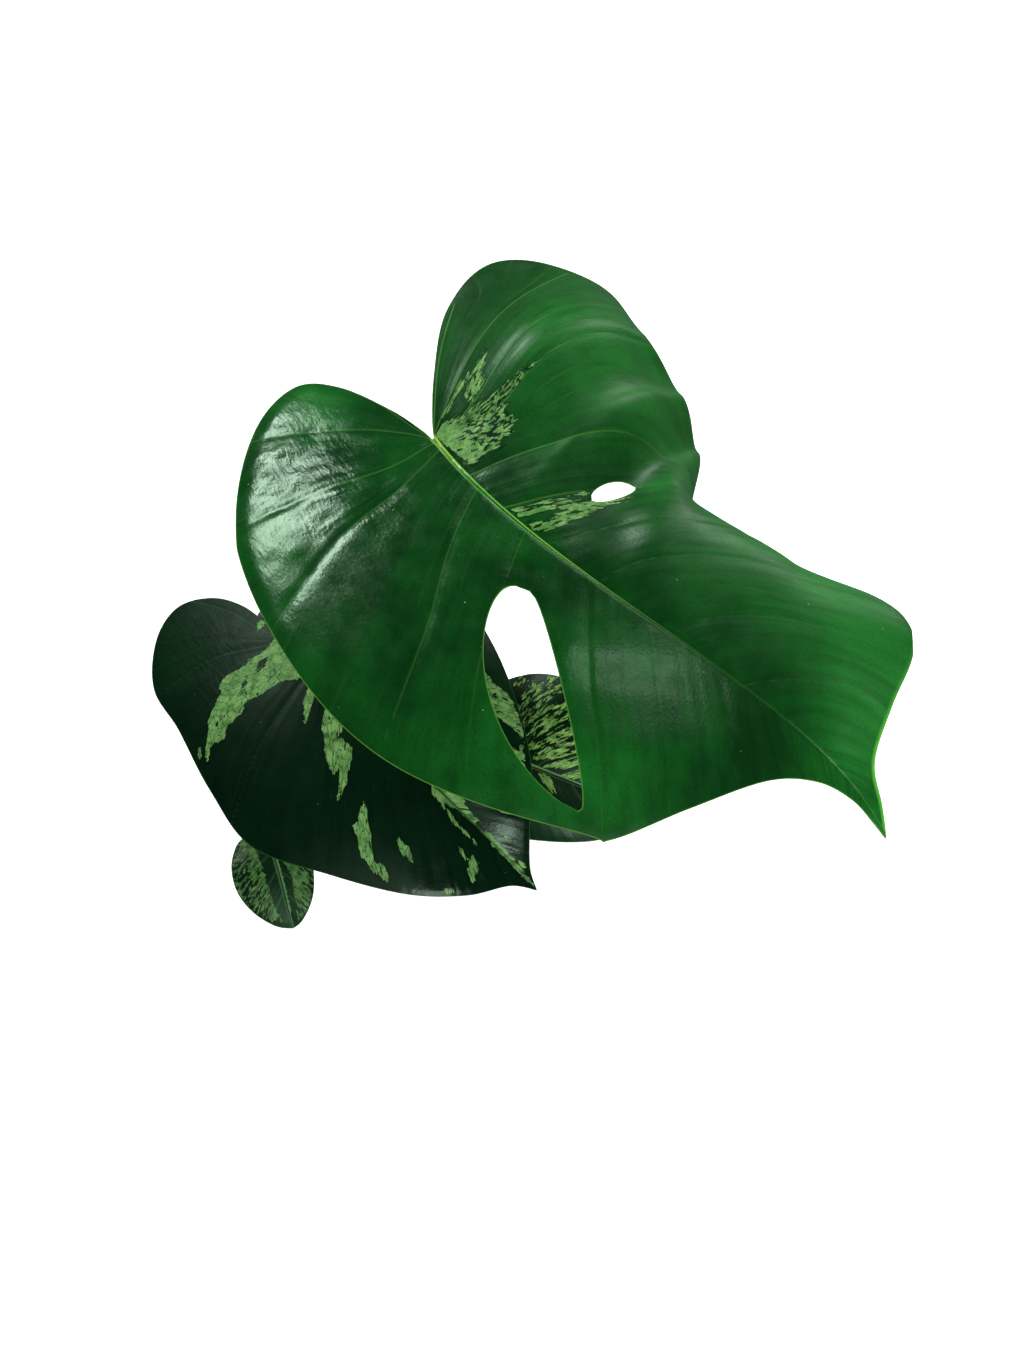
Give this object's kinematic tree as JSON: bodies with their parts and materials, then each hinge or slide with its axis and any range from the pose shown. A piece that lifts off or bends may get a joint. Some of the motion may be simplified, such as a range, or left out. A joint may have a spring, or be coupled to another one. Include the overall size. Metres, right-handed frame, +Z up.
{
  "type": "potted variegated monstera",
  "caption": "Young variegated monstera with glossy, dark green, pale-splashed heart-shaped leaves on arching petioles, in a plain round nursery pot.",
  "frame": {"origin": "centre of the underside of the pot, on the surface it stands on", "axes": "+Z up; the leaves face towards -Y and up, and the tip of the largest leaf points to +X and -Y"},
  "size_m": [0.2863, 0.2259, 0.3179],
  "materials": {
    "pot": "satin black moulded plastic",
    "potting_mix": "rough, moist bark, coir and perlite",
    "stem": "matt green with brown leaf scars",
    "aerial_root": "rough brown",
    "petiole": "semi-gloss green",
    "blade": "glossy deep green, splashed with pale green"
  },
  "bodies": {
    "root": {"pot": "pot", "potting_mix": "potting_mix", "stem": "stem", "aerial_root_left": "aerial_root", "aerial_root_right": "aerial_root", "petiole_large": "petiole", "blade_large": "blade", "petiole_middle": "petiole", "blade_middle": "blade", "petiole_back": "petiole", "blade_back": "blade", "petiole_small": "petiole", "blade_small": "blade"}
  },
  "joints": []
}
